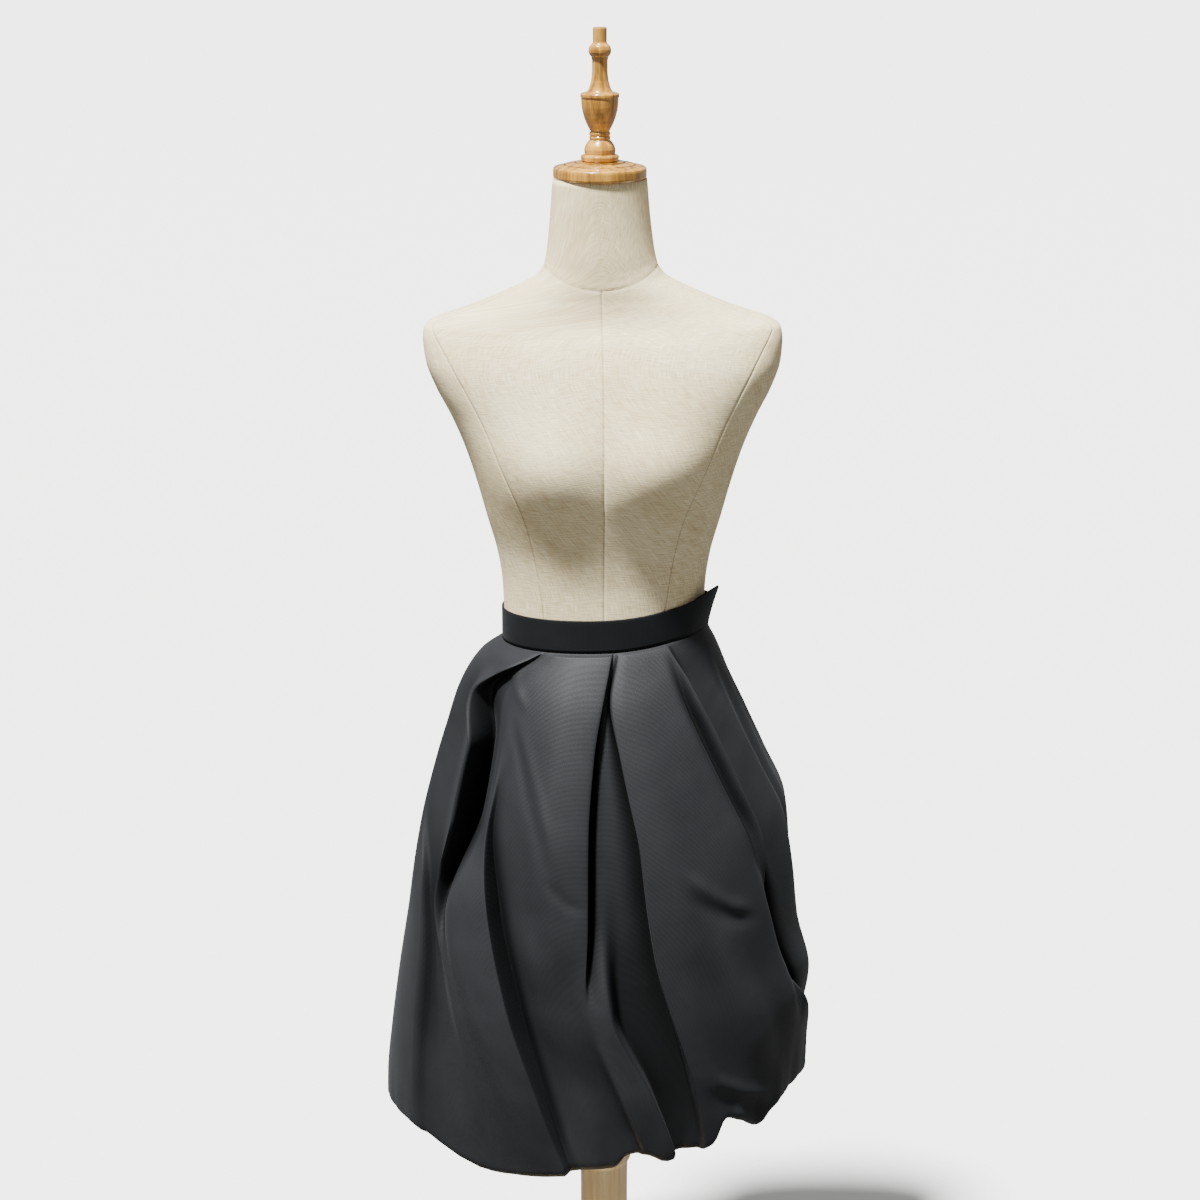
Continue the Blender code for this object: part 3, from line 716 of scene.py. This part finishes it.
def mark_points(piece, name, grids):
    """Gives every point of a piece a number that its look reads."""
    marks = piece.data.attributes.new(name, "FLOAT", "POINT")
    marks.data.foreach_set("value", np.concatenate([grid.ravel() for grid in grids]))


def add_node(tree, kind, inputs=None, **settings):
    """Adds a shader node, sets it up, and joins or fills its inputs."""
    node = tree.nodes.new(kind)
    for key, value in settings.items():
        setattr(node, key, value)
    for key, value in (inputs or {}).items():
        if isinstance(value, bpy.types.NodeSocket):
            tree.links.new(value, node.inputs[key])
        else:
            node.inputs[key].default_value = value
    return node


def new_look(name, roughness):
    """A new material, its node tree and its main shader."""
    look = bpy.data.materials.new(name)
    look.use_nodes = True
    shader = look.node_tree.nodes["Principled BSDF"]
    shader.inputs["Roughness"].default_value = roughness
    return look, look.node_tree, shader


def set_tones(ramp, low, dark, high, light):
    """Makes a colour ramp go from dark at low to light at high."""
    for stop, position, code in zip(ramp.color_ramp.elements, (low, high), (dark, light)):
        stop.position = position
        stop.color = linear(code)


def paint_shade_by_mark(tree, shader, ramp, mark, marks, strengths):
    """The surface's colour with painted shade: made darker by a number that its points hold."""
    number = add_node(tree, "ShaderNodeAttribute", attribute_name=mark).outputs["Fac"]
    inputs = {
        "Value": number,
        "From Min": marks[0],
        "From Max": marks[1],
        "To Min": strengths[0],
        "To Max": strengths[1],
    }
    strength = add_node(tree, "ShaderNodeMapRange", inputs).outputs["Result"]
    inputs = {0: ramp.outputs["Color"], "Scale": strength}
    shade = add_node(tree, "ShaderNodeVectorMath", inputs, operation="SCALE")
    tree.links.new(shade.outputs["Vector"], shader.inputs["Base Color"])


def ribbed_cloth(name, across_ribs, dark, light):
    """Faille: close cross ribs that keep a black cloth from looking flat, with a faint sheen.

    The ribs run along the cloth map's other direction.
    """
    look, tree, shader = new_look(name, 0.50)
    shader.inputs["Sheen Weight"].default_value = 0.03
    shader.inputs["Sheen Roughness"].default_value = 0.38
    shader.inputs["Sheen Tint"].default_value = linear("C8CCD2")
    shader.inputs["Specular IOR Level"].default_value = 0.18
    place = add_node(tree, "ShaderNodeUVMap", uv_map="cloth").outputs["UV"]
    ribs = add_node(
        tree,
        "ShaderNodeTexWave",
        {
            "Vector": place,
            "Scale": 2 * math.pi / (20 * RIB_SPACING),
            "Distortion": 0.6,
            "Detail": 1.0,
            "Detail Scale": 40.0,
        },
        bands_direction="X" if across_ribs else "Y",
    ).outputs["Fac"]
    inputs = {"Vector": place, "Scale": CLOTH_THREADS, "Detail": 2.0}
    threads = add_node(tree, "ShaderNodeTexNoise", inputs).outputs["Fac"]
    inputs = {"Vector": place, "Scale": CLOTH_CLOUDS, "Detail": 3.0}
    clouds = add_node(tree, "ShaderNodeTexNoise", inputs).outputs["Fac"]
    mixed = add_node(tree, "ShaderNodeMix", {"Factor": 0.5, "A": threads, "B": clouds})
    ramp = add_node(tree, "ShaderNodeValToRGB", {"Fac": mixed.outputs["Result"]})
    set_tones(ramp, 0.30, dark, 0.72, light)
    # Painted shade: the cloth's colour darkens to almost black where it lies deep in a fold, read from the
    # points' openness.
    paint_shade_by_mark(tree, shader, ramp, "openness_for_painted_shade", (0.42, 0.94), (0.02, 1.0))
    height = add_node(tree, "ShaderNodeMath", {0: threads, 1: 0.5, 2: ribs}, operation="MULTIPLY_ADD")
    inputs = {"Height": height.outputs["Value"], "Strength": 0.45, "Distance": 0.00030}
    bump = add_node(tree, "ShaderNodeBump", inputs)
    tree.links.new(bump.outputs["Normal"], shader.inputs["Normal"])
    return look


def linen_cloth():
    """Unbleached linen: matt, with uneven threads both ways and painted shade along the seam grooves."""
    look, tree, shader = new_look("natural linen", 0.92)
    shader.inputs["Specular IOR Level"].default_value = 0.2
    place = add_node(tree, "ShaderNodeUVMap", uv_map="cloth").outputs["UV"]
    threads = []
    for stretch in (LINEN_WEFT, LINEN_WARP):
        spread = add_node(tree, "ShaderNodeMapping", {"Vector": place, "Scale": stretch})
        inputs = {"Vector": spread.outputs["Vector"], "Scale": 1.0, "Detail": 2.0}
        threads.append(add_node(tree, "ShaderNodeTexNoise", inputs).outputs["Fac"])
    inputs = {"Factor": 0.5, "A": threads[0], "B": threads[1]}
    weave = add_node(tree, "ShaderNodeMix", inputs).outputs["Result"]
    inputs = {"Vector": place, "Scale": LINEN_CLOUDS, "Detail": 3.0}
    clouds = add_node(tree, "ShaderNodeTexNoise", inputs).outputs["Fac"]
    mixed = add_node(tree, "ShaderNodeMix", {"Factor": 0.2, "A": weave, "B": clouds})
    ramp = add_node(tree, "ShaderNodeValToRGB", {"Fac": mixed.outputs["Result"]})
    set_tones(ramp, 0.41, "D3BE90", 0.60, "FFF1C6")
    # Painted shade: the colour darkens along the form's sunk seam grooves.
    paint_shade_by_mark(tree, shader, ramp, "seam", (0.0004, 0.0012), (0.72, 1.0))
    bump = add_node(tree, "ShaderNodeBump", {"Height": weave, "Strength": 0.5, "Distance": 0.0006})
    tree.links.new(bump.outputs["Normal"], shader.inputs["Normal"])
    return look


def turned_wood(name, dark, light, roughness, coat):
    """Turned wood under clear varnish: upright grain, light along its rounded edges, and painted shade in
    the grooves of its outline.
    """
    look, tree, shader = new_look(name, roughness)
    shader.inputs["Coat Weight"].default_value = coat
    shader.inputs["Coat Roughness"].default_value = 0.12
    place = add_node(tree, "ShaderNodeTexCoord").outputs["Object"]
    spread = add_node(tree, "ShaderNodeMapping", {"Vector": place, "Scale": WOOD_GRAIN})
    inputs = {"Vector": spread.outputs["Vector"], "Scale": 1.0, "Detail": 5.0, "Distortion": 0.6}
    grain = add_node(tree, "ShaderNodeTexNoise", inputs).outputs["Fac"]
    spread = add_node(tree, "ShaderNodeMapping", {"Vector": place, "Scale": WOOD_PORES})
    inputs = {"Vector": spread.outputs["Vector"], "Scale": 1.0, "Detail": 2.0}
    pores = add_node(tree, "ShaderNodeTexNoise", inputs).outputs["Fac"]
    inputs = {"Factor": 0.25, "A": grain, "B": pores}
    mixed = add_node(tree, "ShaderNodeMix", inputs).outputs["Result"]
    ramp = add_node(tree, "ShaderNodeValToRGB", {"Fac": mixed})
    set_tones(ramp, 0.38, dark, 0.62, light)
    # Painted shade: the colour darkens to 0.12 at points that lie in a groove of the turned outline.
    paint_shade_by_mark(tree, shader, ramp, "groove", (0.0, 1.0), (1.0, 0.12))
    bump = add_node(tree, "ShaderNodeBump", {"Height": mixed, "Strength": 0.15, "Distance": 0.0004})
    tree.links.new(bump.outputs["Normal"], shader.inputs["Normal"])
    return look


def make_skirt(look):
    """Front and back panels with their folds, creases, gathers and turned hem."""
    rings, right = skirt_rings()
    inner = rings + wall_offset(rings, CLOTH_WALL)
    around = np.roll(rings, -1, axis=1) - np.roll(rings, 1, axis=1)
    half_gap = SEAM_GAP / 2 * unit(around)
    # How deep each point lies in a fold, which the cloth's look turns into painted shade.
    free = openness(rings)
    last = rings.shape[1]
    made = {}
    for name, columns in (
        ("skirt_front", list(range(right + 1))),
        ("skirt_back", list(range(right, last)) + [0]),
    ):
        sheets = []
        for sheet in (rings, inner):
            panel = sheet[:, columns].copy()
            panel[:, 0] += half_gap[:, columns[0]]
            panel[:, -1] -= half_gap[:, columns[-1]]
            sheets.append(panel)
        from_seam = path_lengths(sheets[0], 1)
        middle = from_seam.shape[1] // 2
        across = from_seam - from_seam[:, [middle]]
        along = path_lengths(sheets[0], 0)
        piece = grid_object(name + "_cloth", sheets, look, across=across, along=along)
        mark_points(piece, "openness_for_painted_shade", [free[:, columns]] * 2)
        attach(piece, "root")
        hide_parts(name)
        widths = from_seam[:, -1]
        steps = np.diff(along.mean(axis=1))
        area = float(np.sum((widths[1:] + widths[:-1]) / 2 * steps))
        made[name] = (piece, float(widths.max()), float(along[-1].max()), area)
    return made


def make_waistband(look):
    """One strip of doubled cloth whose far end lies over its start and stands out as a tip."""
    turns = np.linspace(BAND_START, BAND_END, BAND_COLUMNS)
    seam, out = plain_point(turns, np.zeros(BAND_COLUMNS), np.zeros(BAND_COLUMNS))
    lift = BAND_LIFT * ease(BAND_LIFT_STARTS, BAND_LIFT_ENDS, turns)
    tip = ease(TIP_STARTS, BAND_END, turns)
    rounding = TIP_ROUNDING * ease(BAND_END - 3, BAND_END + 1, turns) ** 2
    half = BAND_WALL / 2
    profile = []
    for share in np.linspace(0.0, 1.0, BAND_ROWS):
        profile.append((share * (BAND_HEIGHT - half), 0.0))
    for step in range(1, BAND_EDGE_STEPS):
        turn = math.pi * step / BAND_EDGE_STEPS
        profile.append((BAND_HEIGHT - half + half * math.sin(turn), -half + half * math.cos(turn)))
    for share in np.linspace(1.0, 0.0, BAND_ROWS):
        profile.append((share * (BAND_HEIGHT - half), -BAND_WALL))
    rows = []
    for height, depth in profile:
        share = height / BAND_HEIGHT
        raised = BAND_GAP + height + (TIP_UP * tip - rounding) * share**2
        stand_out = lift + TIP_OUT * tip * share**1.5 + depth + BAND_PROUD
        rows.append(seam + raised[:, None] * UP + stand_out[:, None] * out)
    points = np.array(rows)
    across = path_lengths(points, 1)
    along = path_lengths(points, 0)
    columns = points.transpose(1, 0, 2)
    piece = grid_object("waistband_cloth", [columns], look, closed=True,
                        across=across.T, along=along.T)
    # The band gets no painted fold shade: its openness is 1 everywhere.
    mark_points(piece, "openness_for_painted_shade", [np.ones(columns.shape[:2])])
    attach(piece, "root")
    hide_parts("waistband")
    return piece, float(across[0, -1])


def form_level(height, turns):
    """One level section of the form, with the bust's two soft rises."""
    table = np.array([row[1:] for row in FORM_RINGS], float)
    stations = [row.height * MM for row in FORM_RINGS]
    half_width, front, back, square = smooth(stations, table, [height])[0]
    across, along = np.sin(turns), -np.cos(turns)
    power = 2 / square
    x = half_width * MM * np.sign(across) * np.abs(across) ** power
    depth = np.where(along < 0, front, back) * MM
    y = depth * np.sign(along) * np.abs(along) ** power
    side = (np.abs(x) - BUST_SPREAD) / BUST_WIDTH
    level = (height - BUST_HEIGHT) / BUST_LENGTH
    swell = BUST_RISE * np.exp(-side * side - level * level) * np.clip(-2 * along, 0, 1)
    lean = FORM_LEAN_TOP * float(ease(LEAN_FROM, LEAN_TO, height))
    return np.stack([x + lean, y - swell], -1)


def make_form(look):
    """The padded torso, with its panels' seams sunk as fine grooves."""
    spans = zip(FORM_ROW_HEIGHTS, FORM_ROW_HEIGHTS[1:], FORM_ROW_COUNTS)
    levels = [np.linspace(low, high, count, endpoint=False) for low, high, count in spans]
    levels = np.append(np.concatenate(levels), FORM_ROW_HEIGHTS[-1])
    dense = np.linspace(-math.pi, math.pi, TURN_SAMPLES)
    seam_heights = [row.height * MM for row in PRINCESS_SEAM]
    seam_table = [[row.front * MM, row.back * MM] for row in PRINCESS_SEAM]
    rows, distances = [], []
    for height in levels:
        ring = form_level(height, dense)
        length = np.concatenate([[0], np.cumsum(np.linalg.norm(np.diff(ring, axis=0), axis=1))])
        front_x, back_x = smooth(seam_heights, seam_table, [height])[0]
        widest = np.abs(ring[:, 0]).max()
        marks = [-math.pi]
        front_turn, back_turn = [math.asin(min(x / widest, SEAM_REACH)) for x in (front_x, back_x)]
        half_round = [front_turn, math.pi / 2, math.pi - back_turn]
        marks.extend([-turn for turn in reversed(half_round)] + [0.0] + half_round)
        places = np.interp(marks, dense, length)
        stops = np.append(places, length[-1])
        at, away = [], []
        for start, end in zip(stops, stops[1:]):
            inner = np.linspace(start + SEAM_MARGIN, end - SEAM_MARGIN, PANEL_COLUMNS)
            spots = np.concatenate([start + SEAM_COLUMNS, inner, end - SEAM_COLUMNS[:0:-1]])
            at.extend(spots)
            away.extend(np.minimum(spots - start, end - spots))
        turns = np.interp(at, length, dense)
        away = np.array(away)
        points = form_level(height, turns)
        neck = NECK_SEAM_HEIGHT + NECK_SEAM_RISE * np.abs(np.sin(turns)) ** 1.5
        z = np.full(len(turns), height)
        rows.append(np.column_stack([points, WAIST_HEIGHT + z]))
        away = np.where(z > neck, NO_SEAM, away)
        distances.append(np.minimum(away, np.abs(z - neck)))
    points = np.array(rows)
    distance = np.array(distances)
    middle = points.copy()
    middle[..., :2] = points[..., :2].mean(axis=1, keepdims=True)
    inward = unit(middle - points)
    points += (SEAM_DEPTH * np.exp(-((distance / SEAM_WIDTH) ** 2)))[..., None] * inward
    across = path_lengths(points, 1)
    along = path_lengths(points, 0)
    piece = grid_object("form_linen", [points], look, closed=True, across=across, along=along)
    # The seam distance, from which the linen's look paints shade along the seam grooves.
    mark_points(piece, "seam", [distance])
    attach(piece, "root")
    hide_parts("form_torso")
    return piece


def rounded(profile, passes=2, cut=0.10):
    """A turned outline with its corners eased by cutting them, ends kept."""
    points = [np.array(p, float) for p in profile]
    for _ in range(passes):
        eased = [points[0]]
        for before, after in zip(points, points[1:]):
            eased.append(before + cut * (after - before))
            eased.append(after - cut * (after - before))
        eased.append(points[-1])
        points = eased
    return points


def groove_marks(mesh, outline, centre):
    """1 for each point of a turned mesh that lies in a groove of its outline, and 0 elsewhere."""
    highest_after = np.maximum.accumulate(outline[::-1, 1])[::-1]
    grooved = (highest_after > outline[:, 1] + GROOVE_DEPTH).astype(float)
    marks = []
    for point in mesh.vertices:
        reach = math.hypot(point.co.x - centre[0], point.co.y - centre[1])
        gaps = np.hypot(outline[:, 0] - reach, outline[:, 1] - point.co.z)
        marks.append(grooved[np.argmin(gaps)])
    return np.array(marks)


def make_turned(name, profile, look, centre=(0.0, 0.0)):
    """A disc drawn out ring by ring along its outline, in place of the plain piece of that name."""
    outline = np.array(rounded(profile)) * MM
    outline[:, 1] += WAIST_HEIGHT
    radius, top = outline[0].tolist()
    bpy.ops.object.select_all(action="DESELECT")
    bpy.ops.mesh.primitive_circle_add(
        vertices=TURNED_SIDES, radius=radius, fill_type="NGON", location=(*centre, top)
    )
    piece = bpy.context.object
    piece.name = name + "_turned"
    bpy.ops.object.mode_set(mode="EDIT")
    bpy.ops.mesh.select_all(action="SELECT")
    for (before, above), (after, below) in zip(outline.tolist(), outline[1:].tolist()):
        bpy.ops.mesh.extrude_region_move(TRANSFORM_OT_translate={"value": (0, 0, below - above)})
        widening = after / before
        bpy.ops.transform.resize(value=(widening, widening, 1), center_override=(*centre, below))
    bpy.ops.mesh.select_all(action="SELECT")
    bpy.ops.mesh.normals_make_consistent(inside=False)
    bpy.ops.object.mode_set(mode="OBJECT")
    bpy.ops.object.transform_apply(location=True, rotation=True, scale=True)
    bpy.ops.object.shade_smooth_by_angle(angle=math.radians(SHARP_EDGE))
    piece.data.name = piece.name
    piece.data.materials.append(look)
    # Groove marks, which the wood's look turns into painted shade.
    mark_points(piece, "groove", [groove_marks(piece.data, outline, centre)])
    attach(piece, "root")
    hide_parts(name)
    return piece


def make_floor():
    """A pale level floor that throws no light back."""
    bpy.ops.mesh.primitive_plane_add(size=2 * FLOOR_REACH, location=(0, 0, 0))
    floor = bpy.context.object
    floor.name = "floor"
    look, _, shader = new_look("pale studio floor", 0.9)
    shader.inputs["Base Color"].default_value = linear("F4F3F1")
    floor.data.materials.append(look)
    floor.visible_diffuse = False
    floor.visible_glossy = False


def make_lights():
    """One soft sun and an even pale room."""
    world = bpy.data.worlds.new("studio")
    bpy.context.scene.world = world
    world.use_nodes = True
    back = world.node_tree.nodes["Background"]
    back.inputs["Color"].default_value = (1.0, 1.0, 1.0, 1.0)
    back.inputs["Strength"].default_value = ROOM_LIGHT
    sun = bpy.data.lights.new("key", "SUN")
    sun.energy = SUN_STRENGTH
    sun.angle = math.radians(SUN_SPREAD)
    key = bpy.data.objects.new("key", sun)
    key.rotation_euler = (math.radians(SUN_TILT), 0, math.radians(SUN_TURN))
    bpy.context.scene.collection.objects.link(key)


def make_camera():
    """The camera as it stood for the photograph."""
    lens = bpy.data.cameras.new("camera")
    lens.lens = LENS_MM
    lens.sensor_width = SENSOR_MM
    lens.shift_x = SHIFT_PIXELS / PICTURE_PIXELS
    camera = bpy.data.objects.new("camera", lens)
    camera.location = (0, -CAMERA_DISTANCE, CAMERA_HEIGHT)
    camera.rotation_euler = (math.radians(90 - CAMERA_TILT), 0, 0)
    bpy.context.scene.collection.objects.link(camera)
    bpy.context.scene.camera = camera


make_camera()
make_lights()
make_floor()
skirt_look = ribbed_cloth("black ribbed faille", False, "1B1C1E", "262729")
# Painted shade: the band is the skirt's own faille, given darker tones for the shade that falls on it.
band_shade_look = ribbed_cloth("black ribbed faille darkened as painted shade on the band", True, "101113", "1A1B1D")
linen = linen_cloth()
varnished = turned_wood("varnished golden wood", "8A5C1C", "D9A03E", 0.26, 0.8)
pale = turned_wood("pale lacquered wood", "EBC586", "FFE6B4", 0.42, 0.3)
panels = make_skirt(skirt_look)
band, band_length = make_waistband(band_shade_look)
make_form(linen)
neck = (FORM_LEAN_TOP, 0.0)
make_turned("finial", FINIAL_PROFILE, varnished, neck)
make_turned("neck_cap", CAP_PROFILE, varnished, neck)
make_turned("hip_plate", HIP_PLATE_PROFILE, pale)
make_turned("pole", POLE_PROFILE, pale)
make_turned("stand_base", BASE_PROFILE, pale)
